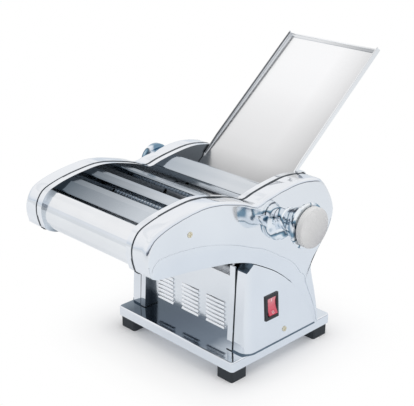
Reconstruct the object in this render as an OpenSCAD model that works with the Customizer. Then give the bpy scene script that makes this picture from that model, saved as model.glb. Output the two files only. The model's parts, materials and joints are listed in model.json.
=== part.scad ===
// Electric pasta roller machine: two smooth rollers behind, two pairs of noodle cutters in front,
// a sloping feed tray, and a gear motor in the box below. The origin is on the table, under the
// middle of the whole machine. The front faces -Y and the switch is on the +X side.

/* [Base] */
// Width of the base tray, side to side
base_w = 216.5; // [205:0.5:235]
// Depth of the base tray, front to back
base_d = 188.5; // [180:0.5:210]
// Height of the base tray's skirt
skirt_h = 13.7; // [10:0.1:18]
// Radius of the base tray's corners
base_corner = 5; // [4:0.5:16]
// Thickness of the base tray's sheet
base_sheet = 1.6; // [1:0.1:2.5]
// Height of the rubber feet
foot_h = 16.4; // [8:0.1:22]
// Width of a rubber foot
foot_w = 27; // [18:1:30]
// Depth of a rubber foot
foot_d = 27; // [18:1:40]

/* [Head] */
// Distance between the two side frames
inner_w = 155; // [150:0.5:160]
// Width of a side frame's rim
rim_w = 8.7; // [6:0.1:10]
// Thickness of a side frame's plate
plate_t = 3; // [2:0.5:4]
// Width of the dark seam between a frame and its cover
seam_w = 1.3; // [0.8:0.1:2]
// Width of a side cover
cover_w = 25.4; // [23:0.2:28]
// Wall of the moulded covers
cover_wall = 2.8; // [2.4:0.1:3]

/* [Smooth rollers] */
// Radius of the smooth rollers
roller_r = 19.7; // [18:0.1:19.8]
// Radius of the smooth rollers' journals
journal_r = 6; // [5:0.5:7]
// How far the adjustable roller opens
gap_travel = 2.5; // [1:0.1:3]

/* [Cutters] */
// Outer radius of the cutter rollers
cutter_r = 10.6; // [10.2:0.1:10.8]
// Radius at the bottom of the cutters' grooves
groove_r = 9.1; // [8.5:0.1:9.3]
// Width of a ring on the wide cutters
wide_ring = 6.4; // [5:0.1:8]
// Width of a ring on the narrow cutters
narrow_ring = 2.4; // [2:0.1:3.5]
// Radius of the cutters' journals
cutter_journal_r = 4; // [3:0.5:5]

/* [Gears] */
// Module of the two roller gears
roller_module = 2; // [2:0.5:2]
// Teeth on each roller gear
roller_teeth = 20; // [20:1:20]
// Module of the train to the cutters
train_module = 1.25; // [1.25:0.25:1.25]
// Teeth on the large drive gear
drive_teeth = 56; // [56:1:56]
// Teeth on the motor's pinion
pinion_teeth = 16; // [16:1:16]

/* [Controls] */
// Radius of the thickness knob's grey cap
knob_r = 27; // [24:0.5:30]
// How far the thickness knob stands out of the cover
knob_h = 55; // [46:1:62]
// Width of the switch's rocker
rocker_w = 15; // [12:0.5:18]
// Height of the switch's rocker
rocker_h = 24; // [20:0.5:28]

/* [Feed tray] */
// Room between the feed tray and a side frame
tray_play = 0.8; // [0.4:0.1:4]
// Length of the feed tray along its slope
tray_l = 262; // [220:1:280]
// Slope of the feed tray above level
tray_slope = 38.9; // [38:0.1:40]
// Thickness of the tray's sheet
tray_sheet = 1.2; // [0.8:0.1:1.5]
// Height of the tray's side lips
lip_h = 8; // [5:0.5:12]

/* [Hidden] */
$fn = 64;
// All heights are measured from a level that lies this far under the base tray.
base_z = 14.5;
base_top = base_z + skirt_h;
// Middle of the whole machine from above, measured from the middle of the base.
middle = [20.9, -8.2];
frame_in = inner_w / 2;
frame_out = frame_in + rim_w;
cover_in = frame_out + seam_w;
cover_out = frame_out + cover_w;
run_gap = 0.05;
chrome = [0.83, 0.86, 0.90];
steel = [0.72, 0.73, 0.75];
dark_steel = [0.42, 0.47, 0.52];
grey_plastic = [0.66, 0.66, 0.66];
black = [0.15, 0.17, 0.19];
brass = [0.72, 0.62, 0.40];

// Places of the shafts in the side view, as [y, z].
rear_roller = [24, 176];
roller_pitch = roller_module * roller_teeth;
front_roller = [rear_roller[0] - roller_pitch, rear_roller[1]];
knob_axis = [-18, 203];
cutter_teeth = 16;
link_teeth = 18;
cutter_pitch = train_module * cutter_teeth;
link_pitch = train_module * link_teeth;
cutter_z = 205;
narrow_rear = [-113.5, cutter_z];
narrow_front = [narrow_rear[0] - cutter_pitch, cutter_z];
wide_rear = [narrow_front[0] - link_pitch, cutter_z];
wide_front = [wide_rear[0] - cutter_pitch, cutter_z];

// Gear train from the drive gear to the cutters, in the outer gear plane.
idler_1_teeth = 32;
idler_teeth = 26;
function pitch_r(teeth) = train_module * teeth / 2;
function spot(from, reach, angle) = [from[0] + reach * cos(angle), from[1] + reach * sin(angle)];
function heading(from, to) = atan2(to[1] - from[1], to[0] - from[0]);
function apart(from, to) = norm([to[0] - from[0], to[1] - from[1]]);
// The third corner of a triangle, left of the way from one centre to the next.
function corner(from, reach_from, to, reach_to) =
  let (d = apart(from, to))
  spot(from, reach_from, heading(from, to)
       + acos((d * d + reach_from * reach_from - reach_to * reach_to) / (2 * d * reach_from)));
motor_shaft = spot(rear_roller, pitch_r(drive_teeth) + pitch_r(pinion_teeth), 267.5);
idler_1 = spot(rear_roller, pitch_r(drive_teeth) + pitch_r(idler_1_teeth), 190.5);
idler_2 = spot(idler_1, pitch_r(idler_1_teeth) + pitch_r(idler_teeth), 150);
idler_3 = corner(narrow_rear, pitch_r(cutter_teeth) + pitch_r(idler_teeth), idler_2,
  2 * pitch_r(idler_teeth));

// Turn of a gear that puts its teeth between those of its neighbour.
function in_mesh(turn, teeth, next_teeth, angle) =
  angle + 180 - (0.5 - (angle - turn) * teeth / 360) * 360 / next_teeth;
drive_turn = 0;
pinion_turn = in_mesh(drive_turn, drive_teeth, pinion_teeth, heading(rear_roller, motor_shaft));
idler_1_turn = in_mesh(drive_turn, drive_teeth, idler_1_teeth, heading(rear_roller, idler_1));
idler_2_turn = in_mesh(idler_1_turn, idler_1_teeth, idler_teeth, heading(idler_1, idler_2));
idler_3_turn = in_mesh(idler_2_turn, idler_teeth, idler_teeth, heading(idler_2, idler_3));
narrow_drive_turn = in_mesh(idler_3_turn, idler_teeth, cutter_teeth, heading(idler_3, narrow_rear));

// Gear planes on the left, measured outwards from the outer face of a frame's plate.
plate_out = frame_in + plate_t;
cutter_gear_in = plate_out + 1.2;
cutter_gear_out = cutter_gear_in + 4.5;
link_gear_in = cutter_gear_out + 0.6;
link_gear_out = link_gear_in + 4.4;
train_in = link_gear_out + 0.8;
train_out = train_in + 6.5;
roller_gear_in = plate_out + 4.1;
roller_gear_out = roller_gear_in + 5.4;

// Outline of the humped head and its tail in the side view, from nose to tail.
top_line = [
  [-226, 191], [-230, 207], [-229, 222], [-220, 235], [-204, 241.5], [-184, 246], [-163, 248.8],
  [-141.5, 250.3], [-120, 247.8], [-98, 242.3], [-77.5, 236], [-58, 228], [-40, 231.4], [-15, 235.5],
  [15, 238.2], [40, 235.6], [62, 228.5], [80, 208], [90, 186], [85, 167], [68, 150.5], [53, 138],
  [48.3, 122], [51, 105], [55.8, 85], [60.3, 64], [64, 42], [65.5, base_top]];
// Underside of the head and the arch over the lower housing, point by point below the top line.
arch_line = [
  [-221, 186.5], [-216, 184], [-211, 182], [-204, 180.5], [-192, 178.5], [-177, 176], [-160, 173.5],
  [-141, 170.3], [-122, 167.3], [-103, 164], [-86, 160], [-68, 154.5], [-54, 148.5], [-38, 140],
  [-20, 129.5], [-8, 121], [2, 113], [9, 106.5], [15, 101], [20, 95], [25, 89], [30, 82], [35, 75],
  [40, 65.5], [46, 55], [51, 46], [55.5, 37], [58.5, base_top]];
steps = 3;
last_row = len(top_line) - 1;
function blend(a, b, t) = a + (b - a) * t;
function through(p, i, t) =
  let (a = p[max(i - 1, 0)], b = p[i], c = p[min(i + 1, len(p) - 1)], d = p[min(i + 2, len(p) - 1)])
  b + ((c - a) * t + (2 * a - 5 * b + 4 * c - d) * t * t + (3 * b - 3 * c + d - a) * t * t * t) / 2;
function curve(p, from, to) =
  [for (i = [from:to - 1]) for (j = [0:steps - 1]) through(p, i, j / steps), p[to]];

top_curve = curve(top_line, 0, last_row);
arch_curve = curve(arch_line, 0, last_row);
function reversed(p) = [for (i = [len(p) - 1:-1:0]) p[i]];

// Legs of the side frames and lower housings.
leg_front = -68;
leg_foot = -72.5;
leg_back_row = 11;
vent_y = -61;
back_y = 48;
box_top = 122;

// Sets the machine on the table, over the origin.
module placed() {
  translate([-middle[0], -middle[1], foot_h - base_z]) children();
}

module across(x0, x1) {
  translate([x0, 0, 0]) rotate([90, 0, 90]) linear_extrude(x1 - x0) children();
}

module rod(x0, x1, r, at) {
  translate([x0, at[0], at[1]]) rotate([0, 90, 0]) cylinder(h = x1 - x0, r = r);
}

// A tube along X.
module bush(x0, x1, r, bore, at) {
  difference() {
    rod(x0, x1, r, at);
    rod(x0 - 1, x1 + 1, bore, at);
  }
}

// A turned shape about an axis along X; profile points are [radius, x].
module turned(profile, at) {
  translate([0, at[0], at[1]]) rotate([0, 90, 0]) rotate_extrude($fn = 96) polygon(profile);
}

module left_and_right() {
  children();
  mirror([1, 0, 0]) children();
}

function arc(centre, r, from, to, count) =
  [for (i = [0:count]) let (a = from + (to - from) * i / count) [centre[0] + r * cos(a),
    centre[1] + r * sin(a)]];

function rounded(w, d, r) = concat(
  arc([w / 2 - r, d / 2 - r], r, 0, 90, 8), arc([r - w / 2, d / 2 - r], r, 90, 180, 8),
  arc([r - w / 2, r - d / 2], r, 180, 270, 8), arc([w / 2 - r, r - d / 2], r, 270, 360, 8));

// ---------------------------------------------------------------- base

edge_r = 2.2;

module base_block(w, d, h, corner_r, edge) {
  union() {
    linear_extrude(h - edge) square([w - 2 * corner_r, d], center = true);
    linear_extrude(h - edge) square([w, d - 2 * corner_r], center = true);
    linear_extrude(h) square([w - 2 * corner_r, d - 2 * edge], center = true);
    linear_extrude(h) square([w - 2 * edge, d - 2 * corner_r], center = true);
    for (x = [-1, 1]) for (y = [-1, 1])
      translate([x * (w / 2 - corner_r), y * (d / 2 - corner_r), 0]) {
        cylinder(h = h - edge, r = corner_r);
        cylinder(h = h, r = corner_r - edge);
        translate([0, 0, h - edge]) rotate_extrude() translate([corner_r - edge, 0]) circle(edge);
      }
    for (x = [-1, 1]) translate([x * (w / 2 - edge), 0, h - edge]) rotate([90, 0, 0])
      cylinder(h = d - 2 * corner_r, r = edge, center = true);
    for (y = [-1, 1]) translate([0, y * (d / 2 - edge), h - edge]) rotate([0, 90, 0])
      cylinder(h = w - 2 * corner_r, r = edge, center = true);
  }
}

module base_tray() {
  color(chrome) difference() {
    translate([0, 0, base_z]) base_block(base_w, base_d, skirt_h, base_corner, edge_r);
    translate([0, 0, base_z - 1]) linear_extrude(skirt_h - base_sheet + 1)
      polygon(rounded(base_w - 2 * base_sheet, base_d - 2 * base_sheet, base_corner - base_sheet));
  }
}

foot_inset = 2.6;
foot_corner = 3;

module rubber_feet() {
  foot_z = base_z - foot_h;
  color(black) for (x = [-1, 1]) for (y = [-1, 1])
    translate([x * (base_w / 2 - foot_inset - foot_w / 2),
               y * (base_d / 2 - foot_inset - foot_d / 2), foot_z])
      difference() {
        linear_extrude(base_top - base_sheet - foot_z) polygon(rounded(foot_w, foot_d, foot_corner));
        translate([0, 0, -1]) cylinder(h = 6, r = 5);
      }
}

// ---------------------------------------------------------------- side frames

// The whole side view of a frame: head, leg and tail.
function frame_outline() = concat(
  top_curve,
  [[leg_foot, base_top], [leg_front, 110], [leg_front + 0.5, 143]],
  reversed([for (i = [0:leg_back_row * steps - 2]) arch_curve[i]]));

// The same outline moved in by a wall.
function shrunk(p, wall) =
  let (n = len(p))
  [for (i = [0:n - 1])
    let (a = p[(i + n - 1) % n], c = p[(i + 1) % n], d = c - a)
    p[i] + wall * [d[1], -d[0]] / norm(d)];

// The direction square to an open line at one of its points, on its right-hand side.
function outward(p, i) =
  let (a = p[max(i - 1, 0)], c = p[min(i + 1, len(p) - 1)], d = c - a) [d[1], -d[0]] / norm(d);

relief_r = 6;
relief = [-66, 148];
plate_hole = 9;
cutter_hole = 6.5;
idler_pin_r = 4;
motor_shaft_r = 5;
block_w = 26;
block_h = 20;
block_fit = 0.3;
rim_wall = 2.2;
tie_rod_r = 4;
tie_rods_at = [[-61, 190], [64, 196], [-206, 205], [-95, 178]];
cutter_shafts = [wide_front, wide_rear, narrow_front, narrow_rear];

module side_frame() {
  outline = frame_outline();
  difference() {
    across(frame_in, frame_out) polygon(outline);
    across(plate_out, frame_out + 1) polygon(shrunk(outline, rim_wall));
    rod(frame_in - 1, frame_out + 1, relief_r, relief);
    rod(frame_in - 1, frame_out + 1, plate_hole, rear_roller);
    for (c = cutter_shafts) rod(frame_in - 1, frame_out + 1, cutter_hole, c);
    translate([frame_in - 1, front_roller[0] - block_w / 2 - gap_travel - block_fit,
               front_roller[1] - block_h / 2 - block_fit])
      cube([rim_w, block_w + gap_travel + 2 * block_fit, block_h + 2 * block_fit]);
  }
}

module right_side_frame() {
  color(chrome) side_frame();
}

module left_side_frame() {
  color(chrome) difference() {
    mirror([1, 0, 0]) side_frame();
    rod(-frame_out - 1, -frame_in + 1, motor_shaft_r + 0.5, motor_shaft);
  }
}

// ---------------------------------------------------------------- upper covers

// How much of the way up from the arch the crease runs, by row of the outline.
function crease_at(row) =
  lookup(row, [[0, 0.5], [3, 0.49], [6, 0.42], [9, 0.335], [12, 0.26], [14, 0.17], [18, 0.14], [21, 0.27],
               [24, 0.4], [27, 0.5]]);
// How deep the bevel under the crease goes, and how wide the rounding of the top edge is.
function bevel_at(row) = lookup(row, [[0, 1], [3, 4], [6, 7], [20, 7], [24, 5], [27, 2.5]]);
function round_at(row) =
  lookup(row, [[0, 2], [2, 9], [4, 6], [6, 5], [16, 6], [18, 11], [20, 17], [22, 15], [24, 8], [26, 3],
    [27, 2.4]]);
function drop_at(row) = min(round_at(row), 8);

lip_inset = 1.6;
hollow_from = 1;
hollow_to = 25;

// One slice of a cover across its width: from the locating lip in the seam, round the underside,
// the crease, the outer face and the top edge, and back to the lip.
function outer_slice(row, top, under) =
  let (
    run = norm(top - under),
    up = (top - under) / run,
    low = under + up * lip_inset,
    high = top - up * lip_inset,
    w = min(round_at(row), 0.42 * run),
    d = drop_at(row),
    crease = blend(under, top, crease_at(row)))
  concat(
    [[frame_out, low[0], low[1]], [cover_in, low[0], low[1]], [cover_in, under[0], under[1]],
     [cover_out - bevel_at(row), under[0], under[1]], [cover_out, crease[0], crease[1]]],
    [for (q = [90:-18:0]) let (p = top - up * w * (1 - cos(q))) [cover_out - d * (1 - sin(q)), p[0], p[1]]],
    [[cover_in, top[0], top[1]], [cover_in, high[0], high[1]], [frame_out, high[0], high[1]]]);

// The hollow's slice, one wall inside.
function inner_slice(row, top, under) =
  let (
    run = norm(top - under),
    up = (top - under) / run,
    low = under + up * cover_wall,
    high = top - up * cover_wall,
    face = cover_out - cover_wall,
    w = min(round_at(row), 0.42 * (run - 2 * cover_wall)),
    crease = blend(low, high, crease_at(row)),
    shoulder = high - up * w)
  [[frame_out, low[0], low[1]], [face - bevel_at(row), low[0], low[1]], [face, crease[0], crease[1]],
   [face, shoulder[0], shoulder[1]], [face - drop_at(row), high[0], high[1]],
   [frame_out, high[0], high[1]]];

module cover_shell() {
  outer = [for (i = [0:len(top_curve) - 1]) outer_slice(i / steps, top_curve[i], arch_curve[i])];
  first = hollow_from * steps;
  last = hollow_to * steps;
  inner = [for (i = [first:last]) inner_slice(i / steps, top_curve[i], arch_curve[i])];
  m = len(outer[0]);
  k = len(inner[0]);
  rows = len(outer);
  start = rows * m;
  points = concat([for (s = outer) each s], [for (s = inner) each s]);
  function o(i, j) = i * m + j;
  function n(i, j) = start + (i - first) * k + j;
  polyhedron(points, concat(
    [for (i = [0:rows - 2]) for (j = [0:m - 2])
      each [[o(i, j), o(i + 1, j + 1), o(i + 1, j)], [o(i, j), o(i, j + 1), o(i + 1, j + 1)]]],
    [for (i = [first:last - 1]) for (j = [0:k - 2])
      each [[n(i, j), n(i + 1, j), n(i + 1, j + 1)], [n(i, j), n(i + 1, j + 1), n(i, j + 1)]]],
    [for (i = [first:last - 1]) each [
      [o(i, 0), n(i + 1, 0), n(i, 0)], [o(i, 0), o(i + 1, 0), n(i + 1, 0)],
      [o(i, m - 1), n(i, k - 1), n(i + 1, k - 1)], [o(i, m - 1), n(i + 1, k - 1), o(i + 1, m - 1)]]],
    [[for (j = [m - 1:-1:0]) o(0, j)], [for (j = [0:m - 1]) o(rows - 1, j)]],
    [[for (j = [0:k - 1]) n(first, j)], [for (j = [k - 1:-1:0]) n(last, j)]],
    [concat([n(first, 0), n(first, k - 1)], [for (i = [first:-1:0]) o(i, m - 1)],
      [for (i = [0:first]) o(i, 0)])],
    [concat([for (i = [last:rows - 1]) o(i, 0)], [for (i = [rows - 1:-1:last]) o(i, m - 1)],
            [n(last, k - 1), n(last, 0)])]));
}

cover_screw = [-166.6, 223];
screw_r = 3.6;
knob_shaft_r = 4;
knob_bush_r = 7;

module upper_cover() {
  difference() {
    cover_shell();
    rod(cover_out - cover_wall - 1, cover_out + 1, knob_bush_r, knob_axis);
    rod(cover_out - 1.2, cover_out + 1, screw_r, cover_screw);
  }
}

module right_upper_cover() {
  color(chrome) upper_cover();
}

module left_upper_cover() {
  color(chrome) mirror([1, 0, 0]) upper_cover();
}

// ---------------------------------------------------------------- lower housings

housing_lean = 3.4;
housing_corner = 14;
housing_gap = 0.8;
switch_at = [-25, 82];
switch_cut_w = rocker_w + 4;
switch_cut_h = rocker_h + 5;
housing_screw = [-1.5, 42.4];

// Side view of a lower housing; moved in by a wall it gives the hollow, which is open at the bottom.
function housing_outline(wall) =
  let (
    arch = [for (i = [leg_back_row * steps + 3:len(arch_curve) - 1])
      arch_curve[i] - [0.5, 1] * housing_gap],
    inner = [for (i = [0:len(arch) - 1]) arch[i] + wall * outward(arch, i)],
    floor_z = wall > 0 ? base_top - 1 : base_top,
    last = inner[len(inner) - 1])
  concat(
    [[leg_foot + 1 + wall, floor_z], [leg_front + 1 + wall, 118], [leg_front + 3 + wall, 138 - wall / 2],
     [leg_front + 8 + wall / 2, 143.5 - wall]],
    [for (p = inner) if (p[1] > base_top + 0.5) p],
    [[last[0] + (wall > 0 ? 0.3 : 0), floor_z]]);

module housing_plan(wall) {
  translate([0, 0, base_top - 20]) linear_extrude(200) polygon(concat(
    [[0, 90], [0, leg_foot - 10 + wall]],
    [[cover_out - 20, leg_foot + 1 + wall]],
    arc([cover_out - housing_corner, leg_foot + 1 + housing_corner], housing_corner - wall, 280, 360, 10),
    [[cover_out - wall, 90]]));
}

module housing_solid(wall, depth) {
  intersection() {
    across(depth, cover_out + 5) polygon(housing_outline(wall));
    translate([cover_out, 0, base_top]) rotate([0, -housing_lean, 0]) translate([-cover_out, 0, -base_top])
      housing_plan(wall);
  }
}

module lower_housing() {
  difference() {
    housing_solid(0, frame_out + 0.6);
    housing_solid(cover_wall, frame_out - 1);
  }
}

// Puts a shape drawn about X on the leaning outer face of a lower housing.
module on_housing(at) {
  translate([cover_out, 0, base_top]) rotate([0, -housing_lean, 0])
    translate([0, at[0], (at[1] - base_top) / cos(housing_lean)]) children();
}

module right_lower_housing() {
  color(chrome) difference() {
    lower_housing();
    on_housing(switch_at) cube([20, switch_cut_w, switch_cut_h], center = true);
    on_housing(housing_screw) translate([-1, 0, 0]) rotate([0, 90, 0]) cylinder(h = 5, r = screw_r);
  }
}

module left_lower_housing() {
  color(chrome) mirror([1, 0, 0]) difference() {
    lower_housing();
    on_housing(housing_screw) translate([-1, 0, 0]) rotate([0, 90, 0]) cylinder(h = 5, r = screw_r);
  }
}

// ---------------------------------------------------------------- box panels

panel_t = 1.4;
vent_rows = 7;
vent_pitch = 5.8;
vent_low = 46;
vent_columns = [[-60.5, -31.5], [-14.5, 16], [31, 63]];
slot_h = 2.4;

module vent_panel() {
  color(chrome) {
    difference() {
      translate([-frame_in, vent_y, base_top]) cube([inner_w, panel_t, box_top - base_top]);
      for (c = vent_columns) for (i = [0:vent_rows - 1])
        translate([c[0], vent_y - 1, vent_low + i * vent_pitch]) cube([c[1] - c[0], panel_t + 2, slot_h]);
    }
    // Hoods pressed out over the slots.
    for (c = vent_columns) for (i = [0:vent_rows - 1])
      translate([0, vent_y, vent_low + i * vent_pitch + slot_h])
      across(c[0] - 0.5, c[1] + 0.5)
        polygon([[0.4, 0], [-1.3, -1.3], [-1.9, -1], [-1.8, 0.1], [-0.9, 1.2], [0.4, 1.7]]);
  }
}

inlet_at = [44, 58];
inlet_w = 27;
inlet_h = 20;

module back_panel() {
  color(chrome) difference() {
    translate([-frame_in, back_y - panel_t, base_top]) cube([inner_w, panel_t, 126 - base_top]);
    translate([inlet_at[0] - inlet_w / 2, back_y - 3, inlet_at[1] - inlet_h / 2])
      cube([inlet_w, 6, inlet_h]);
    for (x = [-50, -5]) for (i = [0:5])
      translate([x - 16, back_y - 3, 50 + i * 8]) cube([32, 6, 3]);
  }
}

// Sloping deck over the motor, which throws the rolled sheet out to the front.
deck_back = [back_y - panel_t, 150];

module deck_plate() {
  color(chrome) across(-frame_in, frame_in) polygon([
    [vent_y, box_top], [vent_y + panel_t, box_top], deck_back - [0, 2], deck_back,
    [vent_y, box_top + 1.8]]);
}

// ---------------------------------------------------------------- plates between the frames

sheet_t = 1.4;
// A bent sheet: an open line given a thickness, and run across between the frames.
module bent_sheet(line, thick) {
  across(-frame_in, frame_in)
    polygon(concat(line, reversed([for (i = [0:len(line) - 1]) line[i] + thick * outward(line, i)])));
}

// Hemmed front guard: from the top edge, round the nose, to the underside.
guard_line = concat(
  [[-207.5, 227], [-208.5, 231]], arc([-209.8, 231.6], 1.6, 0, 150, 5),
  curve([[-216, 229.5], [-222.5, 221], [-225.5, 211], [-224.6, 201], [-219.5, 192.5], [-211.5, 187.3],
    [-198, 184.6],
         [-182, 182.5]], 0, 7));

module front_guard() {
  color(chrome) bent_sheet(guard_line, sheet_t);
}

// The slats over the cutters; each has flanges turned down to its slots.
flange = 9;
module slat(front, front_z, mid, mid_z, rear, rear_z, lead) {
  bend = 2.6;
  line = concat(
    [[front + lead, front_z - flange]],
    arc([front + bend, front_z - bend], bend, 180, 105, 4),
    [[mid, mid_z]],
    arc([rear - bend, rear_z - bend], bend, 75, 0, 4),
    [[rear - lead * 0.6, rear_z - flange]]);
  bent_sheet(line, sheet_t);
}

module front_slat() {
  color(chrome) slat(-203, 237, -187, 242.5, -174.5, 243.2, 3);
}

module middle_slat() {
  color(chrome) slat(-158.5, 244.6, -148, 246, -138.5, 245.2, 3);
}

module rear_slat() {
  color(chrome) slat(-110.5, 242, -96, 238.5, -78, 231.5, 3);
}

// Guide plate over the adjustable roller, curled down behind its crest into the nip.
guide_line = concat(
  [[-40, 215], [-41, 221.5]], arc([-38.6, 223.6], 2.4, 180, 110, 4),
  curve([[-32, 228.6], [-22, 231.4], [-12, 232.4], [-5, 229.5], [-1.2, 222], [0.5, 213]], 0, 5));

module guide_plate() {
  color(steel) bent_sheet(guide_line, sheet_t);
}

// Shell that closes the rear hump and carries the tray on its sloping ledge.
tray_w = inner_w - 2 * tray_play;
tray_dir = [cos(tray_slope), sin(tray_slope)];
tray_up = [-sin(tray_slope), cos(tray_slope)];
tray_foot = [9.5, 196];
function on_tray(along, above) = tray_foot + along * tray_dir + above * tray_up;
rest_gap = 0.3;
rear_shell_line = concat(
  [on_tray(30, -rest_gap), on_tray(58, -rest_gap)],
  arc([62, 222], 9, 75, 25, 4),
  [[76.5, 205], [84, 190], [84.5, 176], [78, 163], [66, 152.5], [52, 141], [back_y, 126]]);

module rear_shell() {
  color(chrome) bent_sheet(reversed(rear_shell_line), -sheet_t);
}

module tie_rods() {
  color(steel) for (t = tie_rods_at) rod(-frame_in, frame_in, tie_rod_r, t);
}

// ---------------------------------------------------------------- smooth rollers

roller_end = frame_in - 2.5;

module rear_roller_core() {
  color(steel) union() {
    rod(-roller_end, roller_end, roller_r, rear_roller);
    rod(-roller_end - 1.5, roller_end + 1.5, journal_r + 2.5, rear_roller);
    rod(-train_out - 2, frame_out - 0.7, journal_r, rear_roller);
  }
}

module front_roller_core() {
  color(steel) union() {
    rod(-roller_end, roller_end, roller_r, front_roller);
    rod(-roller_end - 1.5, roller_end + 1.5, journal_r + 2.5, front_roller);
    rod(-roller_gear_out - 0.8, frame_out - 0.7, journal_r, front_roller);
  }
}

module rear_roller_bushes() {
  color(brass) left_and_right() bush(frame_in - 0.6, frame_out - 2.2, plate_hole, journal_r + run_gap,
    rear_roller);
}

module cutter_bushes() {
  color(brass) left_and_right() for (c = cutter_shafts)
    bush(frame_in - 0.6, plate_out + 0.6, cutter_hole, cutter_journal_r + run_gap, c);
}

// ---------------------------------------------------------------- gears

pressure_angle = 20;
flank_steps = 3;
// How much each side of a tooth is thinned, as a share of the module.
backlash = 0.05;
// How far an involute has turned back, in degrees, where it reaches a radius.
function involute(base, r) = r <= base ? 0 : let (a = acos(base / r)) tan(a) * 180 / PI - a;

// Involute teeth; where the root lies inside the base circle, the flank goes on straight to it.
function gear_points(teeth, size, turn) =
  let (
    pitch = size * teeth / 2,
    base = pitch * cos(pressure_angle),
    tip = pitch + size,
    root = pitch - 1.25 * size,
    start = max(base, root),
    half = 90 / teeth - backlash * size / pitch * 180 / PI + involute(base, pitch),
    flank = concat(root < base ? [root] : [], [for (k = [0:flank_steps]) start
      + (tip - start) * k / flank_steps]),
    last = len(flank) - 1)
  [for (i = [0:teeth - 1]) for (side = [-1, 1]) for (k = [0:last])
    let (r = flank[side < 0 ? k : last - k], a = turn + 360 * i / teeth + side * (half - involute(base, r)))
    [r * cos(a), r * sin(a)]];

module gear(teeth, size, turn, x0, x1, at, bore) {
  difference() {
    across(x0, x1) translate(at) polygon(gear_points(teeth, size, turn));
    rod(x0 - 1, x1 + 1, bore, at);
  }
}

module left_gear(teeth, size, turn, inner, outer, at, bore) {
  gear(teeth, size, turn, -outer, -inner, at, bore);
}

module drive_gear() {
  color(steel) difference() {
    left_gear(drive_teeth, train_module, drive_turn, train_in, train_out, rear_roller, journal_r);
    for (a = [45:60:345]) rod(-train_out - 1, -train_in + 1, 6.5, spot(rear_roller, 20.5, a));
  }
}

module rear_roller_gear() {
  color(steel) left_gear(roller_teeth, roller_module, 0, roller_gear_in, roller_gear_out, rear_roller,
    journal_r);
}

module front_roller_gear() {
  color(steel) left_gear(roller_teeth, roller_module, in_mesh(0, roller_teeth, roller_teeth, 180),
                         roller_gear_in, roller_gear_out, front_roller, journal_r);
}

module idler(teeth, turn, at) {
  difference() {
    left_gear(teeth, train_module, turn, train_in, train_out, at, idler_pin_r + run_gap);
    difference() {
      rod(-train_out - 1, -train_out + 1.5, pitch_r(teeth) - 4, at);
      rod(-train_out - 2, -train_out + 3, idler_pin_r + 3.5, at);
    }
  }
}

module first_idler_gear() {
  color(brass) idler(idler_1_teeth, idler_1_turn, idler_1);
}

module second_idler_gear() {
  color(brass) idler(idler_teeth, idler_2_turn, idler_2);
}

module third_idler_gear() {
  color(brass) idler(idler_teeth, idler_3_turn, idler_3);
}

strap_in = train_out + 2.6;
strap_out = strap_in + 2.4;
strap_r = 8;

// Pins of the idlers. The first one has the roller gear behind it, so only the strap holds it.
module idler_pins() {
  color(steel) {
    for (at = [idler_2, idler_3]) {
      rod(-strap_in, -plate_out, idler_pin_r, at);
      rod(-train_in + 0.4, -plate_out, idler_pin_r + 2.5, at);
      rod(-strap_in, -train_out - 0.5, idler_pin_r + 2, at);
    }
    rod(-strap_in, -train_in + 0.6, idler_pin_r, idler_1);
    rod(-strap_in, -train_out - 0.5, idler_pin_r + 2, idler_1);
  }
}

module strap_bar(from, to) {
  translate([-strap_out, from[0], from[1]]) rotate([heading(from, to), 0, 0])
    translate([0, 0, -strap_r]) cube([strap_out - strap_in, apart(from, to), 2 * strap_r]);
}

module idler_strap() {
  color(steel) difference() {
    union() {
      for (at = [idler_1, idler_2, idler_3]) rod(-strap_out, -strap_in, strap_r, at);
      strap_bar(idler_1, idler_2);
      strap_bar(idler_2, idler_3);
    }
    for (at = [idler_1, idler_2, idler_3]) rod(-strap_out - 1, -strap_out + 1, 2.2, at);
  }
}

// ---------------------------------------------------------------- cutters

cutter_half = frame_in - 2;
// Turned profile of a cutter: rings and grooves from one end to the other, as [radius, x].
function ring_profile(ring, pitch, first) =
  let (count = floor((2 * cutter_half - first - ring) / pitch))
  concat(
    [[0, -cutter_half], [groove_r, -cutter_half]],
    [for (i = [0:count]) let (x = -cutter_half + first + i * pitch)
      each [[groove_r, x], [cutter_r, x], [cutter_r, x + ring], [groove_r, x + ring]]],
    [[groove_r, cutter_half], [0, cutter_half]]);

side_gap = 0.3;

module cutter_roller(ring, at, second) {
  pitch = 2 * (ring + side_gap);
  union() {
    turned(ring_profile(ring, pitch, second ? 1 + ring + side_gap : 1), at);
    rod(-link_gear_out - 0.6, cutter_gear_out + 0.5, cutter_journal_r, at);
  }
}

module wide_cutter_front() {
  color(steel) cutter_roller(wide_ring, wide_front, false);
}

module wide_cutter_rear() {
  color(steel) cutter_roller(wide_ring, wide_rear, true);
}

module narrow_cutter_front() {
  color(steel) cutter_roller(narrow_ring, narrow_front, false);
}

module narrow_cutter_rear() {
  color(steel) union() {
    cutter_roller(narrow_ring, narrow_rear, true);
    rod(-train_out - 1, -link_gear_out, cutter_journal_r, narrow_rear);
  }
}

narrow_rear_turn = 0;
narrow_front_turn = in_mesh(narrow_rear_turn, cutter_teeth, cutter_teeth, 180);
wide_rear_turn = 0;
wide_front_turn = in_mesh(wide_rear_turn, cutter_teeth, cutter_teeth, 180);
link_turn = in_mesh(0, link_teeth, link_teeth, 180);

module cutter_gear(turn, at) {
  left_gear(cutter_teeth, train_module, turn, cutter_gear_in, cutter_gear_out, at, cutter_journal_r);
}

// The wide pair's gears stand on the right, clear of the narrow pair's.
module right_cutter_gear(turn, at) {
  gear(cutter_teeth, train_module, turn, cutter_gear_in, cutter_gear_out, at, cutter_journal_r);
}

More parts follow.
